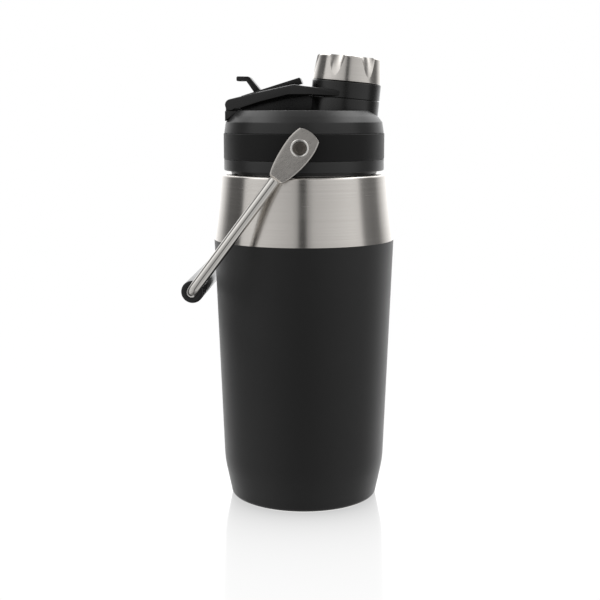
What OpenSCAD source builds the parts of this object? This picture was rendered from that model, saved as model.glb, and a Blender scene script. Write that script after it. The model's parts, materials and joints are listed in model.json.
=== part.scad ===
// Insulated water bottle with a screw lid, a tethered screw cap and a folding bail handle.
// Origin: centre of the base, on the ground. +Z up, spout towards +X, handle pivots on +Y and -Y.

/* [Bottle] */
// Radius just above the rounded foot
foot_r = 33; // [32:0.5:34]
// Radius of the rounded edge under the foot
foot_edge = 2; // [1.5:0.1:2.5]
// Height of the knuckle where the foot flare ends
knuckle_z = 16; // [12:0.5:20]
// Radius at the knuckle
knuckle_r = 35.9; // [35.2:0.1:36.3]
// Radius at the widest point, the top edge of the black coat
widest_r = 39.8; // [39.2:0.1:40.2]
// Height of the top edge of the black coat
coat_top_z = 116.3; // [100:0.1:120]
// Height of the top of the bare steel taper
taper_top_z = 143.6; // [143:0.1:143.8]
// Radius at the top of the bare steel taper
taper_top_r = 36.6; // [36.3:0.1:37]
// Height of the shoulder that the lid stands over
shoulder_z = 145.2; // [145:0.1:145.4]
// Thickness of the steel walls
steel_t = 0.6; // [0.5:0.1:0.7]
// Thickness of the black coat
coat_t = 0.15; // [0.1:0.01:0.2]
// Gap from the outside of the bottle to the inner liner
liner_inset = 2.8; // [2.4:0.1:3.2]
// Outer radius of the neck
neck_r = 29.5; // [29.3:0.1:29.6]
// Height of the mouth
mouth_z = 162; // [161.5:0.1:162]

/* [Lid] */
// Radius of the grey collar
collar_r = 35.2; // [35:0.1:35.4]
// Radius of the bore over the neck
collar_bore_r = 31.4; // [31.3:0.05:31.5]
// Height of the collar's underside
collar_z = 146.7; // [146.5:0.1:147]
// Height of the lower edge of the grip band
band_z0 = 151.6; // [151:0.1:152]
// Height of the upper edge of the grip band
band_z1 = 162.9; // [162.5:0.1:163.2]
// Height where the chamfer starts
chamfer_z = 167.7; // [167.5:0.1:168]
// Radius where the chamfer starts
chamfer_r = 34.3; // [34.2:0.1:34.6]
// Height of the lid's deck
deck_z = 172.6; // [172.4:0.1:172.8]
// Radius of the deck's rim
deck_r = 30; // [29.9:0.1:30.3]
// Rise of the lid in one full turn
thread_lead = 8; // [7.5:0.1:8.5]

/* [Spout and cap] */
// Distance from the bottle's axis to the middle of the spout
spout_x = 18; // [17.8:0.1:18.2]
// Height of the middle of the tether ring's underside
spout_z = 177.8; // [177.6:0.1:178]
// Lean of the spout and the cap
spout_tilt = 5.3; // [5:0.1:5.5]
// Outer radius of the spout's base and of the tether ring
ring_r = 15; // [14.9:0.1:15.1]
// Height of the tether ring
ring_h = 7; // [6.8:0.1:7.2]
// Outer radius of the spout tube
tube_r = 9; // [8.5:0.1:9.2]
// Radius of the drinking bore
drink_r = 6.5; // [5:0.1:7]
// Height of the spout tube above its base
tube_h = 12; // [11:0.1:12]
// Height of the cap above its base
cap_top = 18; // [17.8:0.1:18.4]
// Radius of the steel cap at its lower edge
cap_r = 14.95; // [14.5:0.05:15]
// Number of scallops around the cap
scallops = 6; // [5:1:8]

/* [Tether strap] */
// Distance from the bottle's axis to the strap's hinge
hinge_x = 31.2; // [31:0.1:31.4]
// Height of the strap's hinge
hinge_z = 175; // [174.8:0.1:175.2]
// Radius of the hinge barrel
barrel_r = 2.5; // [2.4:0.05:2.6]
// Half width of the strap at its hinge
strap_half_w = 10.5; // [10.2:0.1:10.8]
// Thickness of the strap's side rails
rail_t = 2.6; // [2.4:0.1:2.8]
// Distance from the bottle's axis to the lever's pin
lever_x = 19.5; // [19:0.1:20]
// Height of the lever's pin
lever_z = 179; // [178.9:0.05:179.1]

/* [Bail handle] */
// Height of the handle's pivots
pivot_z = 157.3; // [157:0.1:157.6]
// Length from the pivots to the middle of the grip
bail_len = 74.9; // [74:0.1:76]
// Lean of the handle at rest
bail_tilt = 36.6; // [36:0.1:38]
// Radius of the steel rod
rod_r = 2.4; // [2.2:0.05:2.5]
// Radius of the grip
grip_r = 4.75; // [4.5:0.05:4.9]
// Distance from the middle plane to a paddle's inner face
paddle_y = 37; // [36.95:0.05:37.2]
// Thickness of a paddle
paddle_t = 1.8; // [1.6:0.1:1.9]

/* [Hidden] */
$fn = 96;

bond = 0.02;          // gap between pieces that are fixed to each other
run = 0.05;           // radial clearance between a pin and the bore that turns on it
flange_r = 28.6;      // inner radius of the shell's rolled foot
shell_edge = 1.3;     // radius of the rounded shoulder edge
coat_end = 50;        // how far the coat wraps under the foot's edge, in degrees
lip_r = 32.1;         // outer radius of the lip that shields the neck
lip_gap = 0.3;        // gap between the lip and the shoulder
band_seat_r = 33.4;   // radius that the grip band is stretched over
insert_z = 163.7;     // underside of the lid insert
ceiling_z = 166.9;    // underside of the collar's ceiling
deck_seat_z = 168.3;  // top of the collar's ceiling
knuckle_w = 7.6;      // half width of the lid's hinge knuckle
hump_w = 5.2;         // half width of the hump that runs under the strap
boss_r = 5;           // radius of the collar's boss behind a pivot
insert_r = 3;         // outer radius of a brass insert
screw_r = 1.5;        // radius of the screw's thread
shoulder_r = 2;       // radius of the screw's plain shoulder
rod_x = -0.5;         // offset of the rod from the line through the pivot
rod_y0 = 38;          // distance from the middle plane to the rod, at the paddle
rod_y1 = 41;          // the same, at the grip
bend_r = 2.6;         // radius of the rod's bend into the grip
grip_half = 38.2;     // half length of the grip, which ends where the bends start
paddle_tip = 6.7;     // from the pivot to the paddle's corners
tip_crown = 1.3;      // rise of the paddle's rounded tip over its corners
paddle_end = 16.4;    // from the pivot to the neck where the rod starts
barb = 0.02;          // clearance of a pin in the piece that holds it

// ---------- shared shapes ----------

// Radius of the bottle's outside at height z
function body_r(z) = lookup(z, [[foot_edge, foot_r], [knuckle_z, knuckle_r],
                                [coat_top_z, widest_r], [taper_top_z, taper_top_r]]);

// Points of an arc about [x, y] from angle a0 to a1
function arc(x, y, r, a0, a1, n = 8) =
    [for (i = [0:n]) [x + r * cos(a0 + (a1 - a0) * i / n), y + r * sin(a0 + (a1 - a0) * i / n)]];

module revolve(points) {
    rotate_extrude() polygon(points);
}

// An X-Z outline made solid from -half_w to +half_w along Y
module slab(points, half_w) {
    translate([0, half_w, 0]) rotate([90, 0, 0]) linear_extrude(2 * half_w) polygon(points);
}

// A cylinder along Y through [x, z], from -half_w to +half_w
module cross_pin(x, z, r, half_w) {
    translate([x, half_w, z]) rotate([90, 0, 0]) cylinder(r = r, h = 2 * half_w);
}

// Places its children in the spout's leaning frame
module at_spout() {
    translate([spout_x, 0, spout_z]) rotate([0, spout_tilt, 0]) children();
}

// Draws its children at both handle pivots, with +Z pointing outwards
module at_pivots() {
    for (side = [-1, 1])
        translate([0, 0, pivot_z]) rotate([-90 * side, 0, 0]) children();
}

// A cylinder between two points in the Y-Z plane
module rod_yz(y0, z0, y1, z1, r) {
    length = norm([y1 - y0, z1 - z0]);
    translate([0, y0, z0]) rotate([-atan2(y1 - y0, z1 - z0), 0, 0]) cylinder(r = r, h = length);
}

// One helical ridge, buried to r_root and standing to r_crest
module thread_ridge(r_root, r_crest, z0, turns, start, root_w = 1.6, crest_w = 0.8) {
    steps = round(36 * turns);
    section = [[r_root, -root_w / 2], [r_crest, -crest_w / 2], [r_crest, crest_w / 2], [r_root, root_w / 2]];
    points = [for (i = [0:steps]) let (a = start + 360 * turns * i / steps, z = z0 + thread_lead * turns * i / steps)
              for (p = section) [p[0] * cos(a), p[0] * sin(a), z + p[1]]];
    sides = [for (i = [0:steps - 1]) for (j = [0:3]) let (k = (j + 1) % 4)
             [4 * i + j, 4 * (i + 1) + j, 4 * (i + 1) + k, 4 * i + k]];
    caps = [[0, 1, 2, 3], [4 * steps + 3, 4 * steps + 2, 4 * steps + 1, 4 * steps]];
    faces = concat(sides, caps);
    polyhedron(points, r_crest < r_root ? faces : [for (f = faces) [f[3], f[2], f[1], f[0]]]);
}

module two_starts(r_root, r_crest, z0, turns, start) {
    for (a = [0, 180]) thread_ridge(r_root, r_crest, z0, turns, start + a);
}

// ---------- bottle ----------

// Vacuum bottle's outer wall, with a rolled foot and a turned-in shoulder
module outer_shell() {
    cover = coat_t + bond;
    edge_z = shoulder_z - shell_edge;
    edge_x = taper_top_r - shell_edge;
    color("silver") revolve(concat(
        [[flange_r, 0]],
        arc(foot_r - foot_edge, foot_edge, foot_edge, -90, -coat_end - 2),
        arc(foot_r - foot_edge, foot_edge, foot_edge - cover, -coat_end, 0),
        [[knuckle_r - cover, knuckle_z], [widest_r - cover, coat_top_z], [widest_r - bond, coat_top_z]],
        [[taper_top_r, taper_top_z]],
        arc(edge_x, edge_z, shell_edge, 0, 90),
        [[neck_r + bond, shoulder_z], [neck_r + bond, shoulder_z - steel_t]],
        arc(edge_x, edge_z, shell_edge - steel_t, 90, 0),
        [[taper_top_r - steel_t, taper_top_z], [widest_r - cover - steel_t, coat_top_z]],
        [[knuckle_r - cover - steel_t, knuckle_z]],
        arc(foot_r - foot_edge, foot_edge, foot_edge - cover - steel_t, 0, -90),
        [[flange_r + steel_t, cover + steel_t], [flange_r + steel_t, 3.6], [flange_r, 3.6]]));
}

// Satin black coat over the lower part of the shell
module powder_coat() {
    color("#26262a") revolve(concat(
        arc(foot_r - foot_edge, foot_edge, foot_edge, -coat_end, 0),
        [[knuckle_r, knuckle_z], [widest_r, coat_top_z]],
        [[widest_r - coat_t, coat_top_z], [knuckle_r - coat_t, knuckle_z]],
        arc(foot_r - foot_edge, foot_edge, foot_edge - coat_t, 0, -coat_end)));
}

// Inner wall that holds the drink, with the neck and its thread
module inner_liner() {
    corner = 6;
    corner_z = 11;
    floor_z = corner_z - corner;
    corner_x = body_r(corner_z) - liner_inset - corner;
    throat = 2.5;
    throat_z = 140.9;
    throat_x = taper_top_r - liner_inset - throat;
    color("silver") {
        revolve(concat(
            [[0, floor_z]],
            arc(corner_x, corner_z, corner, -90, 0),
            [[knuckle_r - liner_inset, knuckle_z], [widest_r - liner_inset, coat_top_z]],
            arc(throat_x, throat_z, throat, 0, 90),
            [[neck_r, throat_z + throat], [neck_r, mouth_z - 0.3], [neck_r - 0.3, mouth_z]],
            [[neck_r - 0.6, mouth_z], [neck_r - 0.8, mouth_z - 0.3], [neck_r - 0.8, throat_z + throat - steel_t]],
            arc(throat_x, throat_z, throat - steel_t, 90, 0),
            [[widest_r - liner_inset - steel_t, coat_top_z], [knuckle_r - liner_inset - steel_t, knuckle_z]],
            arc(corner_x, corner_z, corner - steel_t, 0, -90),
            [[0, floor_z + steel_t]]));
        two_starts(neck_r - 0.25, neck_r + 1.3, 149.2, 1, 0);
    }
}

// Dished plate welded inside the foot
module base_plate() {
    rim = flange_r - bond;
    color("silver") revolve([[0, 2.6], [9, 2.6], [10, 2], [rim, 2], [rim, 3.4], [rim - 0.6, 3.4],
                             [rim - 0.6, 2.6], [10.3, 2.6], [9.3, 3.2], [0, 3.2]]);
}

// Disc that seals the evacuation hole under the base
module vacuum_plug() {
    color("gray") revolve([[0, 1.5], [3.6, 1.5], [4, 1.9], [4, 2.6 - bond], [0, 2.6 - bond]]);
}

// ---------- lid ----------

// Silicone ring squeezed between the mouth and the lid
module lid_gasket() {
    color("#d8d8d4") revolve([[28.05, mouth_z + 0.05], [31, mouth_z + 0.05], [31, insert_z - 0.05],
                              [28.05, insert_z - 0.05]]);
}

// Outline of the collar's outside, from its inner lip up to the deck rim
function collar_outside() = [
    [lip_r, shoulder_z + lip_gap], [lip_r, collar_z], [collar_r - 0.5, collar_z], [collar_r, collar_z + 0.5],
    [collar_r, band_z0], [band_seat_r, band_z0], [band_seat_r, band_z1], [collar_r - 0.3, band_z1],
    [chamfer_r, chamfer_z], [deck_r, deck_z]];

// Grey collar that screws onto the neck
module lid_collar() {
    color("#4a4a4d") difference() {
        union() {
            revolve(concat([[collar_bore_r, shoulder_z + lip_gap]], collar_outside(),
                [[deck_r - 0.4, deck_z], [deck_r - 0.4, deck_seat_z], [24, deck_seat_z], [24, ceiling_z],
                 [collar_bore_r, ceiling_z]]));
            at_pivots() translate([0, 0, 31.6]) cylinder(r = boss_r, h = 3.5);
            two_starts(collar_bore_r + 0.5, collar_bore_r - 1.3, 151.2, 1, 0);
        }
        at_pivots() translate([0, 0, 30]) cylinder(r = insert_r + bond, h = 8);
        at_spout() translate([0, 0, -9.6]) cylinder(r = ring_r + bond, h = 12);
    }
}

// Rubber band around the collar
module grip_band() {
    color("#1d1d1f") difference() {
        revolve([[band_seat_r + bond, band_z0 + bond], [collar_r + 0.1, band_z0 + bond],
                 [collar_r + 0.1, band_z1 - bond], [band_seat_r + bond, band_z1 - bond]]);
        at_pivots() translate([0, 0, 30]) cylinder(r = boss_r + bond, h = 8);
    }
}

// Points along the strap's underside, from the hinge to the ring
function strap_under() = [[-27.7, 173.2], [-18.2, 176.2], [-6.1, 179.2], [3, 179.2]];

// Height of the web's underside above the rails' underside, so that the rails hide the gap
web_rise = 0.7;

// Black top of the lid: deck, spout and the strap's hinge knuckle
module lid_top() {
    hump_z = web_rise - 0.4;
    knuckle_foot_z = 167.8;
    ledge_z = hinge_z - barrel_r - 0.15;
    hump = [for (i = [0:2]) strap_under()[i] + [0.2, hump_z]];
    hump_end = [[2.4, 179.2 + hump_z], [2.4, 179.12], [4, 179], [7, 178.72], [7, deck_z - 1]];
    color("#1a1a1c") difference() {
        union() {
            translate([0, 0, deck_seat_z + bond]) cylinder(r = deck_r - 0.4 - bond, h = deck_z - deck_seat_z);
            translate([0, 0, ceiling_z + bond]) cylinder(r = 24 - bond, h = 2);
            at_spout() translate([0, 0, -9.55]) cylinder(r = ring_r, h = 9.4);
            at_spout() translate([0, 0, -1]) cylinder(r = 14.2, h = 1.05);
            at_spout() translate([0, 0, -1]) cylinder(r = tube_r, h = tube_h + 1);
            slab(concat([[-27.6, deck_z - 1]], hump, hump_end), hump_w);
            difference() {
                union() {
                    slab(concat([[-hinge_x + 4, knuckle_foot_z], [-hinge_x - barrel_r, knuckle_foot_z]],
                                arc(-hinge_x, hinge_z, barrel_r, 180, 0, 16),
                                [[-hinge_x + barrel_r, 173.4], [-26, deck_z + 0.2], [-26, deck_z - 1]]), knuckle_w);
                    slab([[-hinge_x + 4, knuckle_foot_z], [-hinge_x - barrel_r, knuckle_foot_z],
                          [-hinge_x - barrel_r, ledge_z], [-27.5, ledge_z], [-26, deck_z + 0.2], [-26, deck_z - 1]],
                         strap_half_w - 0.1);
                }
                revolve([[0, 160], [chamfer_r + 0.6, 160], [chamfer_r + bond, chamfer_z],
                         [deck_r + bond, deck_z + bond], [0, deck_z + bond]]);
            }
        }
        at_spout() translate([0, 0, -30]) cylinder(r = drink_r, h = 60);
        cross_pin(-hinge_x, hinge_z, 1 + run, 20);
    }
}

// Inner plug of the lid, which carries the gasket and the drinking bore
module lid_insert() {
    color("#3c3c3f") difference() {
        revolve([[0, insert_z], [26.2, insert_z], [26.2, 156], [27.5, 156], [27.95, 156.6],
                 [27.95, insert_z], [collar_bore_r - bond, insert_z], [collar_bore_r - bond, ceiling_z - bond],
                 [0, ceiling_z - bond]]);
        at_spout() translate([0, 0, -30]) cylinder(r = drink_r, h = 60);
    }
}

// Brass inserts that take the pivot screws
module pivot_inserts() {
    color("goldenrod") at_pivots() translate([0, 0, 31.7]) difference() {
        cylinder(r = insert_r, h = 3.3);
        translate([0, 0, -1]) cylinder(r = screw_r, h = 6);
    }
}

// Spacer washers between the collar and the paddles
module pivot_washers() {
    color("#777777") at_pivots() translate([0, 0, 35.2]) difference() {
        cylinder(r = 4.6, h = paddle_y - 35.2 - 0.1);
        translate([0, 0, -1]) cylinder(r = shoulder_r + bond, h = 6);
    }
}

// Shoulder screws that the handle turns on
module pivot_screws() {
    head_y = paddle_y + 1.05;
    color("#6d6d70") at_pivots() difference() {
        union() {
            translate([0, 0, 32]) cylinder(r = screw_r - bond, h = 4);
            translate([0, 0, 35.05]) cylinder(r = shoulder_r, h = head_y - 35.05);
            translate([0, 0, head_y]) cylinder(r = 3, h = 0.7);
            translate([0, 0, head_y + 0.7]) cylinder(r1 = 3, r2 = 2.7, h = 0.25);
        }
        translate([0, 0, head_y + 0.15]) cylinder(r = 1.6, h = 2, $fn = 6);
    }
}

// ---------- bail handle ----------

// Half width of a paddle at distance s below the pivot
function paddle_half(s) = s < 0 ? 6.1 - 1.2 * pow(s / paddle_tip, 2)
                                : rod_r + 3.7 * pow(max(0, cos(90 * s / paddle_end)), 0.6);

// How far the paddle's middle line has moved over to the rod's at distance s
function paddle_mid(s) = rod_x * pow(max(0, s) / paddle_end, 2);

paddle_steps = [for (i = [0:30]) -paddle_tip + i * (paddle_tip + paddle_end) / 30];

module at_bail() {
    translate([0, 0, pivot_z]) rotate([0, bail_tilt, 0]) children();
}

// One leg: paddle, rod and the bend into the grip
module bail_leg() {
    count = len(paddle_steps);
    outline = concat([for (s = paddle_steps) [paddle_mid(s) + paddle_half(s), -s]],
                     [for (i = [1:count]) let (s = paddle_steps[count - i]) [paddle_mid(s) - paddle_half(s), -s]],
                     [for (x = [-3.4, -1.7, 0, 1.7, 3.4]) [x, paddle_tip + tip_crown * (1 - pow(x / 4.9, 2))]]);
    difference() {
        translate([0, -paddle_y, 0]) rotate([90, 0, 0]) linear_extrude(paddle_t) polygon(outline);
        translate([0, -paddle_y + 1, 0]) rotate([90, 0, 0]) cylinder(r = shoulder_r + run, h = 5);
        translate([0, -paddle_y - 1, 0]) rotate([90, 0, 0]) cylinder(r1 = 3.1, r2 = 3.9, h = 0.81);
    }
    translate([rod_x, 0, 0]) {
        rod_yz(-rod_y0, -paddle_end + 1.5, -rod_y1, -bail_len + bend_r, rod_r);
        translate([0, -rod_y1, -bail_len + bend_r]) sphere(r = rod_r + 0.05);
        translate([0, -rod_y1 + bend_r, -bail_len + bend_r]) rotate([0, 90, 0]) rotate([0, 0, 270])
            rotate_extrude(angle = 90) translate([bend_r, 0]) circle(r = rod_r);
    }
}

// Steel bail: two legs and the cross bar inside the grip
module bail_frame() {
    color("silver") at_bail() {
        bail_leg();
        mirror([0, 1, 0]) bail_leg();
        translate([rod_x, 0, 0]) rod_yz(-rod_y1 + bend_r, -bail_len, rod_y1 - bend_r, -bail_len, rod_r);
    }
}

// Grip sleeve on the cross bar, between the two bends
module bail_grip() {
    color("#1b1b1d") at_bail() difference() {
        cross_pin(rod_x, -bail_len, grip_r, grip_half);
        cross_pin(rod_x, -bail_len, rod_r + bond, grip_half + 1);
    }
}

// ---------- tether strap ----------

// Half width of the strap's outside at x
function strap_half(x) = strap_half_w + (ring_r - strap_half_w) * (x + hinge_x + 2.8) / (spout_x + hinge_x + 2.8);

// Strap from the hinge to the ring that holds the cap
module tether_strap() {
    web_t = 1;
    x0 = -hinge_x - 2.8;
    trough_x = -26;
    trough_z = 175.4;
    trough_end = 2.6;
    side = concat(arc(-hinge_x, hinge_z, barrel_r, 103, 315, 20), strap_under(),
                  [[spout_x, spout_z + 0.5], [spout_x, 181.2], [11.2, 181.8], [0.8, 183], [-3.9, 183.7], [-19.9, 180.3]]);
    web_top = [for (p = strap_under()) [p[0], p[1] + web_rise + web_t]];
    under_web = [for (p = strap_under()) [p[0], p[1] + web_rise]];
    color("#1a1a1c") difference() {
        union() {
            intersection() {
                slab(side, 16);
                translate([0, 0, 160]) linear_extrude(40) polygon([[x0, -strap_half_w], [spout_x, -ring_r],
                    [spout_x, ring_r], [x0, strap_half_w]]);
            }
            at_spout() translate([0, 0, 0.1]) cylinder(r = ring_r, h = ring_h - 0.1);
        }
        intersection() {
            union() {
                slab([[x0 - 1, 165], [trough_x, 165], [trough_x, trough_z], web_top[1], web_top[2],
                      [trough_end, web_top[3][1]], [trough_end, 195], [x0 - 1, 195]], 16);
                slab([[trough_x - 1, 165], [trough_end, 165], [trough_end, under_web[3][1]], under_web[2],
                      under_web[1], [trough_x - 1, trough_z - web_t]], 16);
            }
            translate([0, 0, 160]) linear_extrude(40) polygon([[x0 - 1, -strap_half(x0 - 1) + rail_t],
                [trough_end, -strap_half(trough_end) + rail_t], [trough_end, strap_half(trough_end) - rail_t],
                [x0 - 1, strap_half(x0 - 1) - rail_t]]);
        }
        at_spout() translate([0, 0, -1]) cylinder(r = 13.7, h = 20);
        at_spout() translate([0, 0, -1]) cylinder(r = 14.45, h = 2.8);
        cross_pin(-hinge_x, hinge_z, 1 + barb, 20);
        cross_pin(-lever_x, lever_z, 0.8 + barb, 20);
    }
}

// Hinge pin of the strap
module strap_pin() {
    color("silver") cross_pin(-hinge_x, hinge_z, 1, strap_half_w - 0.2);
}

// Pin that the lever rocks on
module lever_pin() {
    color("silver") cross_pin(-lever_x, lever_z, 0.8, strap_half(-lever_x) - 0.3);
}

// Leaf spring that holds the lever's long end up
module lever_spring() {
    color("#9a9a9c") slab([[-14, 179.3], [-9, 180.55], [-5.4, 182.75], [-5.1, 182.5], [-8.8, 180.3], [-14, 179.02]], 3);
}

// Rocking lever: press pad and the hook that holds the strap open
module lock_lever() {
    slope = tan(17.3);
    pad_x0 = -27;
    pad_top = 178.8;
    hook_t = 2.1;
    color("#1a1a1c") difference() {
        union() {
            slab([[pad_x0, pad_top], [-1.5, pad_top + slope * 25.5], [-0.5, 184.3], [pad_x0, 177.5]], 7.5);
            cross_pin(-lever_x, lever_z, 1.4, 7.5);
            slab([[-21.4, 180.2], [-18.6, 181.2], [-22.9, 186.6], [-23.8, 187.3], [-29.2, 187.3],
                  [-29.2, 187.3 - hook_t], [-25, 187.3 - hook_t]], 5);
        }
        cross_pin(-lever_x, lever_z, 0.8 + run, 10);
    }
}

// ---------- cap ----------

// Black inner cap, turned inside the tether ring
module cap_core() {
    color("#202022") at_spout() revolve([[12.4, 0.4], [13.5, 0.4], [13.5, ring_h + 0.1], [12.95, ring_h + 0.1],
        [12.95, 10], [11.6, 12], [11.6, cap_top - 1.1], [0, cap_top - 1.1], [0, 15], [10.9, 15], [10.9, 12], [12.4, 9.6]]);
}

// Steel shell over the cap, with scallops for the fingers
module cap_shell() {
    color("silver") at_spout() difference() {
        revolve(concat([[12.97, ring_h + 0.2], [cap_r, ring_h + 0.2]],
            arc(cap_r - 2.05, cap_top - 1, 1, 5, 90, 6),
            [[0, cap_top], [0, cap_top - 1.08], [11.62, cap_top - 1.08], [11.62, 12], [12.97, 10]]));
        for (i = [0:scallops - 1])
            rotate([0, 0, 360 * i / scallops + 9]) translate([17.8, 0, cap_top]) rotate([0, -18.4, 0])
                translate([0, 0, -12]) cylinder(r = 5.6, h = 18);
    }
}

// Silicone disc that closes the spout
module cap_seal() {
    color("#d8d8d4") at_spout() translate([0, 0, tube_h + 0.05])
        cylinder(r = 10.6, h = 15 - tube_h - 0.1);
}

// Snap ring that holds the cap in the tether ring
module cap_retainer() {
    color("#2a2a2c") at_spout() revolve([[13.52, 0.5], [14.3, 0.5], [14.3, 1.6], [13.52, 1.6]]);
}

outer_shell();
powder_coat();
inner_liner();
base_plate();
vacuum_plug();
lid_gasket();
lid_collar();
grip_band();
lid_top();
lid_insert();
pivot_inserts();
pivot_washers();
pivot_screws();
bail_frame();
bail_grip();
tether_strap();
strap_pin();
lever_pin();
lever_spring();
lock_lever();
cap_core();
cap_shell();
cap_seal();
cap_retainer();
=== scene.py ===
import json
import math

import bmesh
import bpy
from mathutils import Matrix, Vector

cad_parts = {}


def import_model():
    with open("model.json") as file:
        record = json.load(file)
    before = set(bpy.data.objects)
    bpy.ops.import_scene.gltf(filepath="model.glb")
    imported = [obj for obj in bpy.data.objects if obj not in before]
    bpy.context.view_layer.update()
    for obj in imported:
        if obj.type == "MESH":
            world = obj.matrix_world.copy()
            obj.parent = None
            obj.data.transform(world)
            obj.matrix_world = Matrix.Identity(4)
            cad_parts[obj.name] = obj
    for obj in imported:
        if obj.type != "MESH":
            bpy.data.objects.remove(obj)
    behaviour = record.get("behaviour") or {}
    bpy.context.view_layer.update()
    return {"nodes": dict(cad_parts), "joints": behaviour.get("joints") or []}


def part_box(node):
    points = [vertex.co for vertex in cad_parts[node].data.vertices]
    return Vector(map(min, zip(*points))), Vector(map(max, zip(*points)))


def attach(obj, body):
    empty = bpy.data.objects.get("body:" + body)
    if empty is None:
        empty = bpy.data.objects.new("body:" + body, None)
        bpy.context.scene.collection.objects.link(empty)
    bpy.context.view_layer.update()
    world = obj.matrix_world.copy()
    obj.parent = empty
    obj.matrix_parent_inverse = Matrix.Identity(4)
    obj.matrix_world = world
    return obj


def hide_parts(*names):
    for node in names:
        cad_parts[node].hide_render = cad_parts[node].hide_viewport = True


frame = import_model()

MM = 0.001
TAU = 2 * math.pi


# ---------- sizes, in millimetres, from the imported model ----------

def low(node):
    """Lowest corner of a CAD node, in millimetres."""
    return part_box(node)[0] / MM


def high(node):
    """Highest corner of a CAD node, in millimetres."""
    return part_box(node)[1] / MM


def joint(name):
    """The record's entry for one joint."""
    return next(j for j in frame["joints"] if j["name"] == name)


def joint_at(name):
    """A hinge's position, in millimetres."""
    return Vector(joint(name)["pos_m"]) / MM


COAT_TOP = high("powder_coat").z
WIDEST_R = high("powder_coat").x
SHOULDER_Z = high("outer_shell").z
COLLAR_R = high("lid_collar").x
DECK_Z = high("lid_collar").z
BAND_Z0 = low("grip_band").z
BAND_Z1 = high("grip_band").z
GRIP_HALF = high("bail_grip").y
GRIP_R = (high("bail_grip").z - low("bail_grip").z) / 2
PIVOT = joint_at("bail_swing")
HINGE = joint_at("strap_flip")
LEVER = joint_at("lever_press")
SPOUT = joint_at("cap_turn")
SPOUT_AXIS = Vector(joint("cap_turn")["axis"])
SPOUT_TILT = math.atan2(SPOUT_AXIS.x, SPOUT_AXIS.z)
GRIP_MID = (high("bail_grip") + low("bail_grip")) / 2
ROD_X = -0.5           # offset of the rod from the line through the pivot
REACH = math.hypot(GRIP_MID.x - PIVOT.x, GRIP_MID.z - PIVOT.z)
BAIL_LEN = math.sqrt(REACH ** 2 - ROD_X ** 2)
BAIL_TILT = math.atan2(PIVOT.x - GRIP_MID.x, PIVOT.z - GRIP_MID.z) - math.asin(-ROD_X / REACH)

FOOT_R = 33.0          # radius above the rounded foot
FOOT_EDGE = 2.0        # radius of the rounded foot
KNUCKLE = (35.9, 16.0)  # radius and height where the foot flare ends
TAPER_TOP = (36.6, 143.6)
COAT_END = 80          # how far the coat wraps under the foot, in degrees
SHELL_EDGE = 1.3       # radius of the shoulder's edge
NECK_R = 29.55
COAT_T = 0.15
STEEL_T = 0.6
RING_R = 15.0          # tether ring and spout base
RING_H = 7.0
RING_BORE = 13.7
CAP_TOP = 18.0
CAP_R = 14.95          # radius of the steel cap at its lower edge
TUBE_R = 9.0
TUBE_H = 12.0
DRINK_R = 6.5
RAIL_T = 2.6
ROD_R = 2.4
PADDLE_Y = 37.0
PADDLE_T = 1.8
PADDLE_TIP = 6.7       # from the pivot to the paddle's corners
TIP_CROWN = 1.3        # rise of the paddle's rounded tip over its corners
PADDLE_END = 16.4      # from the pivot to the neck where the rod starts
CAMERA_YAW = math.radians(2.9)

SPOUT_FRAME = Matrix.Translation(SPOUT * MM) @ Matrix.Rotation(SPOUT_TILT, 4, "Y")
BAIL_FRAME = Matrix.Translation(PIVOT * MM) @ Matrix.Rotation(BAIL_TILT, 4, "Y")


# ---------- mesh helpers ----------

def arc(x, y, r, a0, a1, steps=8):
    """Points of an arc about (x, y), angles in degrees."""
    angles = [math.radians(a0 + (a1 - a0) * i / steps) for i in range(steps + 1)]
    return [(x + r * math.cos(a), y + r * math.sin(a)) for a in angles]


def fillet(points, radius, steps=4, open_path=False):
    """Rounds every corner of an outline. radius is one number or one per corner."""
    count = len(points)
    radii = radius if isinstance(radius, (list, tuple)) else [radius] * count
    out = []
    for i, corner in enumerate(points):
        if radii[i] <= 0 or (open_path and i in (0, count - 1)):
            out.append(tuple(corner))
            continue
        p = Vector(corner)
        to_a = Vector(points[i - 1]) - p
        to_b = Vector(points[(i + 1) % count]) - p
        half = to_a.angle(to_b) / 2
        if half > math.radians(88):
            out.append(tuple(corner))
            continue
        back = min(radii[i] / math.tan(half), 0.49 * to_a.length, 0.49 * to_b.length)
        a = p + to_a.normalized() * back
        b = p + to_b.normalized() * back
        for k in range(steps + 1):
            t = k / steps
            out.append(tuple(a * (1 - t) ** 2 + p * 2 * t * (1 - t) + b * t ** 2))
    return out


def finish_mesh(name, bm, sharp=35.0):
    """Turns a bmesh in millimetres into an object in metres, smooth but for sharp edges."""
    bmesh.ops.remove_doubles(bm, verts=bm.verts, dist=1e-4)
    bmesh.ops.recalc_face_normals(bm, faces=bm.faces)
    bmesh.ops.scale(bm, verts=bm.verts, vec=(MM, MM, MM))
    mesh = bpy.data.meshes.new(name)
    bm.to_mesh(mesh)
    bm.free()
    mesh.shade_smooth()
    mesh.set_sharp_from_angle(angle=math.radians(sharp))
    obj = bpy.data.objects.new(name, mesh)
    bpy.context.scene.collection.objects.link(obj)
    return obj


def grid(bm, rows, wrap_rows, wrap_columns):
    """Adds a grid of quads; rows is a list of equal lists of 3-D points."""
    verts = [[bm.verts.new(p) for p in row] for row in rows]
    row_count = len(rows)
    column_count = len(rows[0])
    for i in range(row_count if wrap_rows else row_count - 1):
        for j in range(column_count if wrap_columns else column_count - 1):
            a = verts[i]
            b = verts[(i + 1) % row_count]
            k = (j + 1) % column_count
            bm.faces.new((a[j], b[j], b[k], a[k]))
    return verts


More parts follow.
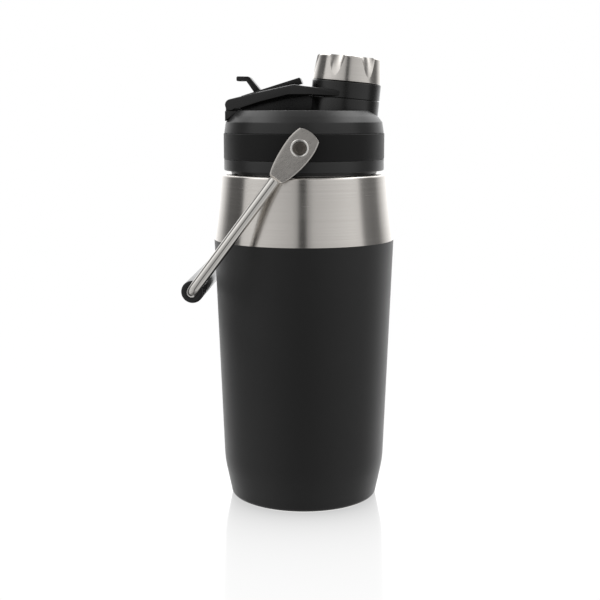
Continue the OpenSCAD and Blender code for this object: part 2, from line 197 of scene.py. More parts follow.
def lathe_into(bm, profile, segments=192, radius=None):
    """Revolves a closed outline of (r, z) points; radius(r, z, angle) may change r."""
    rows = []
    for i in range(segments):
        a = TAU * i / segments
        row = []
        for r, z in profile:
            rr = radius(r, z, a) if radius else r
            row.append((rr * math.cos(a), rr * math.sin(a), z))
        rows.append(row)
    grid(bm, rows, True, True)


def lathe(name, profile, segments=192, radius=None, sharp=35.0):
    bm = bmesh.new()
    lathe_into(bm, profile, segments, radius)
    return finish_mesh(name, bm, sharp)


def prism_into(bm, outline, near, far):
    """Fills between two copies of an X-Z outline; near and far give y at each x."""
    front = [bm.verts.new((x, near(x), z)) for x, z in outline]
    back = [bm.verts.new((x, far(x), z)) for x, z in outline]
    bm.faces.new(front)
    bm.faces.new(list(reversed(back)))
    count = len(outline)
    for i in range(count):
        k = (i + 1) % count
        bm.faces.new((front[i], back[i], back[k], front[k]))


def prism(name, outline, half_width, bevel=0.3, sharp=30.0):
    bm = bmesh.new()
    prism_into(bm, outline, lambda x: -half_width, lambda x: half_width)
    obj = finish_mesh(name, bm, sharp)
    return bevelled(obj, bevel)


def apply_modifiers(obj):
    """Bakes an object's modifiers into its mesh."""
    bpy.context.view_layer.update()
    evaluated = obj.evaluated_get(bpy.context.evaluated_depsgraph_get())
    mesh = bpy.data.meshes.new_from_object(evaluated)
    obj.modifiers.clear()
    obj.data = mesh
    return obj


def bevelled(obj, width, segments=3, angle=35.0):
    """Rounds an object's sharp edges; width in millimetres."""
    mod = obj.modifiers.new("round", "BEVEL")
    mod.width = width * MM
    mod.segments = segments
    mod.limit_method = "ANGLE"
    mod.angle_limit = math.radians(angle)
    mod.use_clamp_overlap = True
    mod.harden_normals = False
    apply_modifiers(obj)
    obj.data.shade_smooth()
    obj.data.set_sharp_from_angle(angle=math.radians(50))
    return obj


def cut(obj, *cutters):
    """Cuts other objects out of obj and deletes them."""
    for cutter in cutters:
        mod = obj.modifiers.new("cut", "BOOLEAN")
        mod.operation = "DIFFERENCE"
        mod.solver = "EXACT"
        mod.object = cutter
    apply_modifiers(obj)
    for cutter in cutters:
        bpy.data.objects.remove(cutter)
    obj.data.set_sharp_from_angle(angle=math.radians(35))
    return obj


def placed(obj, matrix):
    """Moves an object's mesh by a matrix in metres."""
    obj.data.transform(matrix)
    return obj


def joined(name, *parts):
    """Joins several closed meshes into one object."""
    bm = bmesh.new()
    for part in parts:
        bm.from_mesh(part.data)
        bpy.data.objects.remove(part)
    mesh = bpy.data.meshes.new(name)
    bm.to_mesh(mesh)
    bm.free()
    mesh.set_sharp_from_angle(angle=math.radians(35))
    obj = bpy.data.objects.new(name, mesh)
    bpy.context.scene.collection.objects.link(obj)
    return obj


def cylinder(name, r, z0, z1, segments=96, r_top=None):
    """A plain closed cylinder or cone, for cutting."""
    top = r if r_top is None else r_top
    return lathe(name, [(0, z0), (r, z0), (top, z1), (0, z1)], segments)


def helix_into(bm, r_root, r_crest, z0, lead, turns, start, root_w, crest_w):
    """A thread ridge that fades in and out over its first and last eighth of a turn."""
    steps = int(72 * turns)
    rows = []
    for i in range(steps + 1):
        angle = start + TAU * turns * i / steps
        z = z0 + lead * turns * i / steps
        fade = min(1.0, i / 9.0, (steps - i) / 9.0)
        crest = r_root + (r_crest - r_root) * (0.15 + 0.85 * fade)
        section = [(r_root, -root_w / 2), (crest, -crest_w / 2), (crest, crest_w / 2), (r_root, root_w / 2)]
        rows.append([(r * math.cos(angle), r * math.sin(angle), z + dz) for r, dz in section])
    verts = grid(bm, rows, False, True)
    bm.faces.new(verts[0])
    bm.faces.new(list(reversed(verts[-1])))


# ---------- material helpers ----------

class Nodes:
    """A short way to build a material's node tree."""

    def __init__(self, name):
        self.material = bpy.data.materials.new(name)
        self.material.use_nodes = True
        self.tree = self.material.node_tree
        self.tree.nodes.clear()
        self.out = self.tree.nodes.new("ShaderNodeOutputMaterial")
        self.shader = self.tree.nodes.new("ShaderNodeBsdfPrincipled")
        self.link(self.shader.outputs[0], self.out.inputs["Surface"])
        self.coords = self.tree.nodes.new("ShaderNodeTexCoord").outputs["Object"]

    def link(self, source, target):
        self.tree.links.new(source, target)

    def set(self, **values):
        for key, value in values.items():
            self.shader.inputs[key.replace("_", " ")].default_value = value

    def scaled(self, scale, source=None):
        """Object coordinates, stretched by scale per metre."""
        node = self.tree.nodes.new("ShaderNodeMapping")
        node.inputs["Scale"].default_value = scale
        self.link(source or self.coords, node.inputs["Vector"])
        return node.outputs[0]

    def turned(self, angles):
        """Object coordinates, turned by angles in degrees."""
        node = self.tree.nodes.new("ShaderNodeMapping")
        node.inputs["Rotation"].default_value = [math.radians(a) for a in angles]
        self.link(self.coords, node.inputs["Vector"])
        return node.outputs[0]

    def noise(self, vector, detail=2.0, roughness=0.5, scale=1.0):
        node = self.tree.nodes.new("ShaderNodeTexNoise")
        node.inputs["Scale"].default_value = scale
        node.inputs["Detail"].default_value = detail
        node.inputs["Roughness"].default_value = roughness
        self.link(vector, node.inputs["Vector"])
        return node.outputs[0]

    def range(self, value, low_out, high_out, low_in=0.3, high_in=0.7):
        node = self.tree.nodes.new("ShaderNodeMapRange")
        for key, number in (("From Min", low_in), ("From Max", high_in), ("To Min", low_out), ("To Max", high_out)):
            node.inputs[key].default_value = number
        self.link(value, node.inputs["Value"])
        return node.outputs[0]

    def mix(self, factor, a, b):
        node = self.tree.nodes.new("ShaderNodeMix")
        node.data_type = "RGBA"
        node.inputs["A"].default_value = (*a, 1)
        node.inputs["B"].default_value = (*b, 1)
        self.link(factor, node.inputs["Factor"])
        return node.outputs["Result"]

    def math(self, operation, a, b=None):
        node = self.tree.nodes.new("ShaderNodeMath")
        node.operation = operation
        for i, value in enumerate((a, b)):
            if value is None:
                continue
            if isinstance(value, (int, float)):
                node.inputs[i].default_value = value
            else:
                self.link(value, node.inputs[i])
        return node.outputs[0]

    def bump(self, height, distance, strength=1.0, normal=None):
        """Bump of a height map; distance in millimetres."""
        node = self.tree.nodes.new("ShaderNodeBump")
        node.inputs["Distance"].default_value = distance * MM
        node.inputs["Strength"].default_value = strength
        self.link(height, node.inputs["Height"])
        if normal is not None:
            self.link(normal, node.inputs["Normal"])
        return node.outputs[0]


def brushed_steel(name, tint, rough, streak_scale, turn=(0, 0, 0), lines=0.004, aniso=0.0, tone=0.10):
    """Steel with fine brush lines along the directions in which streak_scale is small."""
    n = Nodes(name)
    base = n.turned(turn)
    fine = n.noise(n.scaled(streak_scale, base), detail=3.0, roughness=0.65)
    broad = n.noise(n.scaled([s / 7 for s in streak_scale], base), detail=2.0)
    cloud = n.noise(n.scaled((90, 90, 90)), detail=3.0)
    both = n.math("ADD", n.math("MULTIPLY", fine, 0.65), n.math("MULTIPLY", broad, 0.35))
    dark = [c * (1 - tone) for c in tint]
    light = [min(1.0, c * (1 + tone)) for c in tint]
    n.link(n.mix(n.range(both, 0, 1), dark, light), n.shader.inputs["Base Color"])
    grain = n.math("ADD", n.range(both, -0.05, 0.05), n.range(cloud, -0.025, 0.025))
    n.link(n.math("ADD", grain, rough), n.shader.inputs["Roughness"])
    n.link(n.bump(both, lines, 0.7), n.shader.inputs["Normal"])
    n.set(Metallic=1.0, Anisotropic=aniso, Anisotropic_Rotation=0.25)
    if aniso:
        tangent = n.tree.nodes.new("ShaderNodeTangent")
        tangent.direction_type = "RADIAL"
        tangent.axis = "Z"
        n.link(tangent.outputs[0], n.shader.inputs["Tangent"])
    return n.material


def moulded(name, tint, rough, grain_mm, depth_mm, spread=0.25, specular=0.5, sheen=0.0):
    """Moulded plastic, rubber or powder coat: a fine grain, slow colour drift and uneven gloss."""
    n = Nodes(name)
    per_metre = 1.0 / (grain_mm * MM)
    grain = n.noise(n.scaled((per_metre,) * 3), detail=3.0, roughness=0.6)
    drift = n.noise(n.scaled((70, 70, 70)), detail=3.0)
    speckle = n.math("ADD", n.math("MULTIPLY", grain, 0.6), n.math("MULTIPLY", drift, 0.4))
    dark = [c * (1 - spread) for c in tint]
    light = [c * (1 + spread) for c in tint]
    n.link(n.mix(n.range(speckle, 0, 1), dark, light), n.shader.inputs["Base Color"])
    gloss = n.math("ADD", n.range(grain, -0.05, 0.05), n.range(drift, -0.03, 0.03))
    n.link(n.math("ADD", gloss, rough), n.shader.inputs["Roughness"])
    n.link(n.bump(grain, depth_mm, 0.6), n.shader.inputs["Normal"])
    n.set(Specular_IOR_Level=specular, Sheen_Weight=sheen)
    return n.material


STEEL_TINT = (0.68, 0.65, 0.615)
MATERIALS = {
    "steel_band": brushed_steel("steel_band", STEEL_TINT, 0.22, (14, 14, 6000), lines=0.0018, aniso=0.85, tone=0.05),
    "steel_cap": brushed_steel("steel_cap", STEEL_TINT, 0.20, (20, 20, 4200), lines=0.002, aniso=0.6, tone=0.06),
    "steel_inner": brushed_steel("steel_inner", (0.55, 0.54, 0.52), 0.35, (20, 20, 1500)),
    "steel_rod": brushed_steel("steel_rod", (0.68, 0.66, 0.63), 0.09, (900, 900, 30), lines=0.002, tone=0.05),
    "steel_paddle": brushed_steel("steel_paddle", (0.66, 0.63, 0.595), 0.28, (700, 900, 3600), turn=(0, 70, 0),
                                  lines=0.003, tone=0.10),
    # Polished steel for the screw recesses and rims; its extra-light tint is a painted highlight
    "recess_steel_painted_highlight": brushed_steel("recess_steel_painted_highlight", (0.92, 0.90, 0.87), 0.20, (900, 900, 900), lines=0.001, tone=0.03),
    "screw": brushed_steel("screw", (0.15, 0.135, 0.12), 0.30, (1500, 1500, 1500), lines=0.004),
    "pin": brushed_steel("pin", (0.55, 0.55, 0.55), 0.25, (900, 40, 900), lines=0.002),
    "brass": brushed_steel("brass", (0.72, 0.52, 0.25), 0.30, (900, 900, 900), lines=0.003),
    "coat": moulded("coat", (0.0010, 0.0010, 0.0011), 0.52, 0.35, 0.010, 0.2, specular=0.30, sheen=0.46),
    "grey": moulded("grey", (0.0108, 0.0108, 0.0107), 0.34, 0.30, 0.012, 0.12, sheen=0.08),
    "black": moulded("black", (0.0044, 0.0043, 0.0040), 0.28, 0.28, 0.012, 0.2, specular=0.58),
    "rubber": moulded("rubber", (0.0013, 0.0013, 0.0012), 0.50, 0.22, 0.018, 0.25, specular=0.20, sheen=0.18),
    "grip": moulded("grip", (0.0040, 0.0040, 0.0038), 0.24, 0.30, 0.004, 0.2, specular=0.6),
    "inner": moulded("inner", (0.05, 0.05, 0.052), 0.35, 0.40, 0.010, 0.1),
    "silicone": moulded("silicone", (0.62, 0.62, 0.58), 0.45, 0.5, 0.01, 0.05),
}


def show(obj, material, body, slot, *nodes):
    """Gives a piece its material and its body, and hides the CAD nodes it stands for; slot is not used."""
    obj.data.materials.clear()
    obj.data.materials.append(MATERIALS[material])
    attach(obj, body)
    if nodes:
        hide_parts(*nodes)
    return obj


# ---------- bottle ----------

def steel_shell():
    """Bare band, turned-in shoulder and rolled foot of the steel wall."""
    under = COAT_T + 0.03
    edge = (TAPER_TOP[0] - SHELL_EDGE, SHOULDER_Z - SHELL_EDGE)
    foot = (FOOT_R - FOOT_EDGE, FOOT_EDGE)
    outline = [(28.6, 0.25), (28.85, 0.0)]
    outline += arc(*foot, FOOT_EDGE, -90, -COAT_END - 2, 6) + arc(*foot, FOOT_EDGE - under, -COAT_END, 0, 6)
    outline += [(KNUCKLE[0] - under, KNUCKLE[1]), (WIDEST_R - under, COAT_TOP - 0.05)]
    outline += [(WIDEST_R - 0.05, COAT_TOP + 0.02), (WIDEST_R - 0.07, COAT_TOP + 0.25)]
    steps = 12
    for i in range(1, steps):
        t = i / steps
        r = WIDEST_R + (TAPER_TOP[0] - WIDEST_R) * t - 0.22 * math.sin(math.pi * t)
        outline.append((r, COAT_TOP + (TAPER_TOP[1] - COAT_TOP) * t))
    outline += arc(*edge, SHELL_EDGE, 4, 90, 10)
    outline += [(NECK_R + 0.2, SHOULDER_Z), (NECK_R, SHOULDER_Z - 0.2), (NECK_R, SHOULDER_Z - STEEL_T)]
    outline += arc(*edge, SHELL_EDGE - STEEL_T, 90, 0, 6)
    outline += [(WIDEST_R - under - STEEL_T, COAT_TOP), (KNUCKLE[0] - under - STEEL_T, KNUCKLE[1])]
    outline += arc(*foot, FOOT_EDGE - under - STEEL_T, 0, -90, 6)
    outline += [(29.2, 0.8), (29.2, 3.5), (28.9, 3.6), (28.6, 3.5)]
    return show(lathe("steel_shell", outline, 256), "steel_band", "bottle", "steel", "outer_shell")


def coat_sleeve():
    """Black coat, with its knuckle eased and its top edge rounded."""
    foot = (FOOT_R - FOOT_EDGE, FOOT_EDGE)
    ease = [(FOOT_R + (KNUCKLE[0] - FOOT_R) * t, FOOT_EDGE + (KNUCKLE[1] - FOOT_EDGE) * t) for t in (0.25, 0.45)]
    side = fillet([ease[-1], KNUCKLE, (WIDEST_R, COAT_TOP - 0.12)], 60, 12, True)[1:-1]
    outline = arc(*foot, FOOT_EDGE, -COAT_END, 0, 12) + ease + side
    outline += [(WIDEST_R, COAT_TOP - 0.12), (WIDEST_R - 0.04, COAT_TOP - 0.03), (WIDEST_R - 0.12, COAT_TOP)]
    outline += [(WIDEST_R - COAT_T, COAT_TOP - 0.02), (KNUCKLE[0] - COAT_T, KNUCKLE[1])]
    outline += arc(*foot, FOOT_EDGE - COAT_T, 0, -COAT_END, 12)
    return show(lathe("coat_sleeve", outline, 256), "coat", "bottle", "coat", "powder_coat")


# ---------- lid ----------

def collar_shell():
    """Grey collar: inner lip, two rings, chamfer, bore and its two-start thread."""
    r = COLLAR_R
    lip_z = SHOULDER_Z + 0.3
    corners = [(31.4, lip_z), (32.1, lip_z), (32.1, 146.7), (r, 146.7), (r, BAND_Z0 - 0.05), (33.4, BAND_Z0 - 0.05),
               (33.4, BAND_Z1 + 0.05), (r - 0.15, BAND_Z1 + 0.05), (34.35, 167.6), (32.3, 170.15), (30.0, DECK_Z),
               (29.62, DECK_Z),
               (29.62, 168.3), (24.0, 168.3), (24.0, 166.9), (31.4, 166.9)]
    radii = [0.1, 0.15, 0.1, 0.6, 0.35, 0.1, 0.1, 0.35, 0.9, 8, 0.8, 0.1, 0.1, 0.1, 0.1, 0.1]
    bm = bmesh.new()
    lathe_into(bm, fillet(corners, radii), 256)
    for start in (0, math.pi):
        helix_into(bm, 31.6, 30.1, 151.2, 8.0, 1.0, start, 1.6, 0.8)
    return show(finish_mesh("collar_shell", bm), "grey", "lid", "grey_plastic", "lid_collar")


def collar_band():
    """Rubber band in the collar's groove."""
    r = high("grip_band").x
    corners = [(33.45, BAND_Z0), (r, BAND_Z0), (r, BAND_Z1), (33.45, BAND_Z1)]
    outline = fillet(corners, [0.1, 0.45, 0.45, 0.1], 5)
    return show(lathe("collar_band", outline, 256), "rubber", "lid", "black_rubber", "grip_band")


STRAP_UNDER = [(-27.7, 173.2), (-18.2, 176.2), (-6.1, 179.2), (3.0, 179.2)]
WEB_RISE = 0.7         # the web's underside stands this far above the rails' underside
HUMP_HALF = 5.2        # half width of the hump under the strap


def lid_deck():
    """Black deck, spout and the hinge knuckle of the strap."""
    disc = fillet([(0, 168.4), (29.55, 168.4), (29.55, DECK_Z), (27.8, DECK_Z), (27.2, DECK_Z - 0.5), (0, DECK_Z - 0.5)],
                  [0, 0.1, 0.25, 0.15, 0.15, 0], 3)
    deck = lathe("deck", disc, 192)
    boss = cylinder("boss", 23.9, 166.95, 169)
    hump_top = [(x + 0.2, z + WEB_RISE - 0.4) for x, z in STRAP_UNDER[:3]]
    hump_end = [(2.4, 179.5), (2.4, 179.12), (4, 179.0), (7, 178.72), (7, DECK_Z - 1.5)]
    hump = fillet([(-27.6, DECK_Z - 1.5)] + hump_top + hump_end, [0, 0.5, 4, 4, 0.1, 0, 0, 0, 0])
    plinth = prism("plinth", hump, HUMP_HALF, 0.4)
    hx, hz, br = HINGE.x, HINGE.z, 2.5
    block = [(hx + 5.2, DECK_Z - 1.5), (-29.8, DECK_Z - 1.5), (hx - br, 168.1)]
    block += arc(hx, hz, br, 180, 0, 16) + [(hx + br, 173.6), (hx + 5.2, DECK_Z + 0.2)]
    knuckle = prism("knuckle", block, 7.6, 0.35)
    seat_z = hz - br - 0.15
    seat = [(hx + 4.4, DECK_Z - 1.5), (-29.8, DECK_Z - 1.5), (hx - br, 168.1), (hx - br, seat_z),
            (hx + 2.6, seat_z), (hx + 4.4, DECK_Z + 0.1)]
    ledge = prism("ledge", seat, 10.4, 0.1)
    base = [(DRINK_R, -9.5), (RING_R, -9.5), (RING_R, -0.15), (14.2, -0.15), (14.2, 0.05), (TUBE_R + 0.8, 0.05),
            (TUBE_R, 0.8), (TUBE_R, TUBE_H), (DRINK_R, TUBE_H)]
    bm = bmesh.new()
    lathe_into(bm, fillet(base, [0, 0.1, 0.3, 0, 0.05, 0.2, 0.5, 0.7, 0.7]), 128)
    helix_into(bm, TUBE_R - 0.2, TUBE_R + 1.0, 3.2, 3.0, 1.75, 0.6, 1.5, 0.6)
    spout = placed(finish_mesh("spout", bm), SPOUT_FRAME)
    bore = [placed(cylinder(f"bore_{i}", DRINK_R, -30, 30), SPOUT_FRAME) for i in range(2)]
    cut(deck, bore[0])
    cut(boss, bore[1])
    top = joined("lid_deck", deck, boss, plinth, knuckle, ledge, spout)
    return show(top, "black", "lid", "black_plastic", "lid_top")


def pivot_hardware():
    """Countersunk socket screws and washers, the same at both pivots."""
    for part, material, slot, node in (("screws", "screw", "screw_steel", "pivot_screws"),
                                       ("washers", "pin", "pin_steel", "pivot_washers")):
        pair = []
        for side in (-1, 1):
            if part == "screws":
                head = PADDLE_Y + 1.05
                corners = [(0, 34), (2.0, 34), (2.0, head), (2.8, head), (2.8, head + 0.5), (2.35, head + 0.85),
                           (1.95, head + 0.85), (1.8, head + 0.68), (0, head + 0.68)]
                piece = lathe("screw", fillet(corners, [0, 0.2, 0, 0.1, 0.12, 0.1, 0.05, 0.05, 0]), 64)
                cut(piece, cylinder("socket", 1.4, head + 0.1, head + 3, 6))
            else:
                corners = [(2.05, 35.2), (4.6, 35.2), (4.6, PADDLE_Y - 0.1), (2.05, PADDLE_Y - 0.1)]
                piece = lathe("washer", fillet(corners, 0.15, 2), 64)
            turn = Matrix.Rotation(math.radians(-90 * side), 4, "X")
            pair.append(placed(piece, Matrix.Translation((0, 0, PIVOT.z * MM)) @ turn))
        show(joined(f"pivot_{part}_pair", *pair), material, "lid", slot, node)


# ---------- bail handle ----------

def smooth(t):
    t = max(0.0, min(1.0, t))
    return t * t * (3 - 2 * t)


def paddle_half(s):
    """Half width of the flattened end at distance s below the pivot."""
    if s < 0:
        return 6.1 - 1.2 * (s / PADDLE_TIP) ** 2
    return ROD_R + 3.7 * max(0.0, math.cos(math.radians(90 * min(1, s / PADDLE_END)))) ** 0.6


def bail_rod():
    """One rod, flattened at both ends and bent twice into the grip."""
    bend = 2.6
    y_top, y_bottom = PADDLE_Y + PADDLE_T / 2, 41.0
    flare = (y_bottom - 38.0) / (BAIL_LEN - bend - PADDLE_END)
    stations = [-PADDLE_TIP + i * 0.4 for i in range(54)]
    stations += [stations[-1] + (i + 1) * 0.12 for i in range(30)]
    last = stations[-1]
    stations += [last + (BAIL_LEN - bend - last) * (i + 1) / 12 for i in range(12)]
    quarter_steps, side_steps = 22, 5

    def section(centre, normal, half_w, half_t, power, crown=0.0, shift=ROD_X):
        """Superellipse with its points spread along the sides of its box, some on each corner."""
        row = []
        for k in range(4 * quarter_steps):
            quarter, step = divmod(k, quarter_steps)
            step = quarter_steps - step if quarter % 2 else step
            x = half_w * min(1.0, (quarter_steps - step) / (quarter_steps - side_steps))
            t = half_t * min(1.0, step / side_steps)
            size = ((x / half_w) ** power + (t / half_t) ** power) ** (1 / power)
            x *= (1 if quarter in (0, 3) else -1) / size
            t *= (1 if quarter in (0, 1) else -1) / size
            rise = crown * (1 - (x / half_w) ** 2)
            row.append((x + shift, centre[0] + normal[0] * t, centre[1] + normal[1] * t + rise))
        return row

    def leg(side):
        out = []
        for s in stations:
            flat = 1 - smooth((s - 15.5) / 0.9)
            half_t = PADDLE_T / 2 * flat + ROD_R * (1 - flat)
            power = 2 + 9 * flat
            y = y_top + smooth((s - 10) / 8) * 0.1 + max(0.0, s - PADDLE_END) * flare
            crown = TIP_CROWN * max(0.0, 1 - (s + PADDLE_TIP) / 5.0)
            shift = ROD_X * min(1.0, max(0.0, s) / PADDLE_END) ** 2
            out.append(section((side * y, -s), (1, 0), paddle_half(s), half_t, power, crown, shift))
        return out

    def corner(side):
        out = []
        for i in range(1, 10):
            a = math.radians(90 * i / 10)
            y = y_bottom - bend + bend * math.cos(a)
            z = -BAIL_LEN + bend - bend * math.sin(a)
            out.append(section((side * y, z), (side * math.cos(a), -math.sin(a)), ROD_R, ROD_R, 2))
        return out

    def flipped(row):
        """The same section walked from its far side, so that both legs line up."""
        return [(x, -y, z) for x, y, z in row]

    near = leg(1) + corner(1)
    bar = [section((y, -BAIL_LEN), (0, -1), ROD_R, ROD_R, 2) for y in (37, 20, 0, -20, -37)]
    rows = near + bar + [flipped(row) for row in reversed(near)]
    bm = bmesh.new()
    verts = grid(bm, rows, False, True)
    bm.faces.new(verts[0])
    bm.faces.new(list(reversed(verts[-1])))
    rod = finish_mesh("bail_rod", bm, 40)
    face_y = PADDLE_Y + PADDLE_T
    rims = []
    for side in (-1, 1):
        turn = Matrix.Rotation(math.radians(-90 * side), 4, "X")
        cut(rod, placed(cylinder("hole", 2.1, 30, 45), turn),
            placed(cylinder("recess", 3.1, face_y - 0.9, face_y + 1), turn))
        rims.append(placed(lathe("rim", arc(3.45, face_y - 0.1, 0.4, 0, 337.5, 15), 96), turn))
    rod = joined("bail_rod", rod, *rims)
    for material in ("steel_rod", "steel_paddle", "recess_steel_painted_highlight"):
        rod.data.materials.append(MATERIALS[material])
    for face in rod.data.polygons:
        c = face.center / MM
        out = math.hypot(c.x, c.z)
        # Hole walls, recesses and rims take the extra-light steel: real polish plus a painted highlight
        if out < 3.05 or (out < 4.0 and abs(c.y) > face_y + 0.02):
            face.material_index = 2
            continue
        face.material_index = 1 if c.z > -16.6 else 0
    rod.matrix_world = BAIL_FRAME
    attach(rod, "bail")
    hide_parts("bail_frame")
    return rod


def bail_sleeve():
    """Grip sleeve on the cross bar, between the two bends."""
    bore = ROD_R + 0.02
    corners = [(bore, -GRIP_HALF), (GRIP_R, -GRIP_HALF), (GRIP_R, GRIP_HALF), (bore, GRIP_HALF)]
    sleeve = lathe("grip_sleeve", fillet(corners, [0.15, 0.6, 0.6, 0.15], 5), 96)
    placed(sleeve, Matrix.Translation((ROD_X * MM, 0, -BAIL_LEN * MM)) @ Matrix.Rotation(math.radians(90), 4, "X"))
    sleeve.matrix_world = BAIL_FRAME
    return show(sleeve, "grip", "bail", "black_rubber", "bail_grip")


# ---------- tether strap, lever and cap ----------

def strap_half(x):
    """Half width of the strap at x: narrow at the hinge, as wide as the ring at the spout."""
    x0 = HINGE.x - 2.8
    return 10.5 + (RING_R - 10.5) * (x - x0) / (SPOUT.x - x0)


def rail(side, outline, top_from):
    """One side rail, tapering in plan, with a sloping facet along its outer top edge."""
    rows = []
    for inset, drop in ((RAIL_T, 0.0), (0.7, 0.0), (0.0, 0.2)):
        rows.append([(x, side * (strap_half(x) - inset), z - (drop if i >= top_from else 0.0))
                     for i, (x, z) in enumerate(outline)])
    bm = bmesh.new()
    verts = grid(bm, rows, False, True)
    bm.faces.new(verts[0])
    bm.faces.new(list(reversed(verts[-1])))
    piece = bevelled(finish_mesh("rail", bm, 15), 0.6, 4)
    return cut(piece, placed(cylinder("hole", RING_BORE, -3, 12, 128), SPOUT_FRAME))


def strap():
    """Two rails, the web between them and the ring that holds the cap."""
    hx, hz, br = HINGE.x, HINGE.z, 2.5
    top = [(18, 181.1), (11.2, 181.8), (0.8, 183.0), (-3.9, 183.7), (-19.9, 180.3)]
    under = STRAP_UNDER + [(18, 178.35)]
    outline = arc(hx, hz, br, 103, 315, 20) + fillet(under, [0.5, 6, 6, 2, 0], 5, True)
    top_from = len(outline)
    outline += fillet(top, [0, 8, 3, 5, 12], 6, True)
    rails = [rail(side, outline, top_from) for side in (-1, 1)]
    web_line = [(x, z + WEB_RISE) for x, z in STRAP_UNDER[1:]]
    web_top = [(x, z + 1.0) for x, z in web_line]
    web_outline = [(-26, 174.4)] + web_line + list(reversed(web_top)) + [(-26, 175.4)]
    bm = bmesh.new()
    prism_into(bm, fillet(web_outline, [0.3, 6, 6, 0, 0, 6, 6, 0.3]), lambda x: -strap_half(x) + RAIL_T - 0.1,
               lambda x: strap_half(x) - RAIL_T + 0.1)
    web = finish_mesh("web", bm)
    corners = [(14.45, 0.1), (RING_R, 0.1), (RING_R, RING_H), (RING_BORE, RING_H), (RING_BORE, 1.8), (14.45, 1.8)]
    ring = lathe("ring", fillet(corners, [0.1, 0.45, 0.55, 0.35, 0.1, 0.1], 5), 192)
    placed(ring, SPOUT_FRAME)
    return show(joined("strap_body", *rails, web, ring), "black", "strap", "black_plastic", "tether_strap")


def lever():
    """Press pad with its hook."""
    slope = math.tan(math.radians(17.3))
    pad = [(-27, 178.8), (-1.5, 178.8 + slope * 25.5), (-0.5, 184.3), (-27, 177.5)]
    plate = prism("plate", fillet(pad, [0.4, 0.6, 0.5, 0.4]), 7.5, 0.35)
    thick = 2.1
    top = 187.3
    hook = [(-21.4, 180.2), (-18.6, 181.2), (-23.6, top - 0.1), (-29.2, top), (-29.2, top - thick),
            (-24.9, top - thick)]
    arm = prism("arm", fillet(hook, [0, 0, 1.6, 0.7, 0.7, 0.6], 5), 5.0, 0.35)
    hub = lathe("hub", fillet([(0.85, -7.4), (1.4, -7.4), (1.4, 7.4), (0.85, 7.4)], 0.15), 48)
    placed(hub, Matrix.Translation(LEVER * MM) @ Matrix.Rotation(math.radians(90), 4, "X"))
    return show(joined("lever_body", plate, arm, hub), "black", "lever", "black_plastic", "lock_lever")


def cap_outer():
    """Steel cap with six pointed scallops."""
    foot, top = RING_H + 0.2, CAP_TOP - 1.0
    outline = [(12.97, foot), (CAP_R - 0.15, foot), (CAP_R, foot + 0.15)]
    rows = 12
    for i in range(1, rows + 1):
        t = i / rows
        outline.append((CAP_R - 1.05 * t, foot + 0.15 + (top - foot - 0.15) * t))
    outline += arc(CAP_R - 2.05, top, 1.0, 8, 90, 10)
    outline += [(12.2, CAP_TOP - 0.02), (11.5, CAP_TOP - 0.12), (10.8, CAP_TOP - 0.3), (10.0, CAP_TOP - 0.34)]
    outline += [(6.0, CAP_TOP - 0.34), (0, CAP_TOP - 0.34), (0, CAP_TOP - 1.08), (11.62, CAP_TOP - 1.08)]
    outline += [(11.62, 12.0), (12.97, 10.0)]
    shell = lathe("cap_outer", outline, 288)
    cutters = []
    for i in range(6):
        turn = Matrix.Rotation(TAU * i / 6 + math.radians(9), 4, "Z")
        lean = Matrix.Translation((17.8 * MM, 0, CAP_TOP * MM)) @ Matrix.Rotation(math.radians(-18.4), 4, "Y")
        cutters.append(placed(cylinder(f"scallop_{i}", 5.6, -12, 6, 144), turn @ lean))
    cut(shell, *cutters)
    bevelled(shell, 0.18, 2, 28)
    shell.matrix_world = SPOUT_FRAME
    return show(shell, "steel_cap", "cap", "steel", "cap_shell")


def cap_inner():
    """Black core of the cap, with its flange in the tether ring; it has no inner thread."""
    corners = [(12.4, 0.4), (13.5, 0.4), (13.5, RING_H + 0.1), (12.9, RING_H + 0.1), (12.9, 9.9), (11.5, 12.0),
               (11.5, 16.8), (0, 16.8), (0, 15), (10.9, 15), (10.9, 12.0), (12.4, 9.6)]
    bm = bmesh.new()
    lathe_into(bm, fillet(corners, [0.2, 0.3, 0.2, 0.1, 0.5, 0.5, 0.3, 0, 0, 0.2, 0.4, 0.4]), 128)
    core = finish_mesh("cap_inner", bm)
    core.matrix_world = SPOUT_FRAME
    return show(core, "black", "cap", "black_plastic", "cap_core")


def kept_nodes():
    """CAD nodes that show as they are, with a material of their own."""
    finishes = {"inner_liner": "steel_inner", "base_plate": "steel_inner", "vacuum_plug": "rubber",
                "lid_gasket": "silicone", "lid_insert": "inner", "pivot_inserts": "brass", "strap_pin": "pin",
                "lever_pin": "pin", "lever_spring": "pin", "cap_seal": "silicone",
                "cap_retainer": "black"}
    for node, material in finishes.items():
        obj = frame["nodes"][node]
        obj.data.materials.clear()
        obj.data.materials.append(MATERIALS[material])


# ---------- studio ----------

# Light level at the horizon, by angle from the camera's own direction; left is negative
AROUND = [(-180, 1.7), (-162, 1.7), (-148, 1.35), (-136, 0.90), (-127, 0.42), (-118, 0.17), (-97, 0.12),
          (-91, 0.14), (-87, 0.92), (-68, 0.92), (-44, 0.78), (-15, 0.62), (-9, 0.50), (-5.5, 0.09), (1.5, 0.09),
          (4.5, 0.42), (12, 0.66), (44, 0.82), (66, 0.95), (78, 0.95), (83, 0.45), (88, 0.26), (103, 0.20),
          (114, 0.24), (124, 0.70), (138, 1.30), (149, 1.6), (160, 1.8), (180, 1.8)]
# Share of that light by the direction's height, from -1 straight down to 1 straight up
UPRIGHT = [(-1.0, 0.30), (-0.75, 0.60), (-0.64, 1.1), (-0.56, 0.9), (-0.44, 0.9), (-0.3, 1.1), (0.0, 1.0),
           (0.3, 1.1), (0.46, 1.6), (1.0, 1.6)]
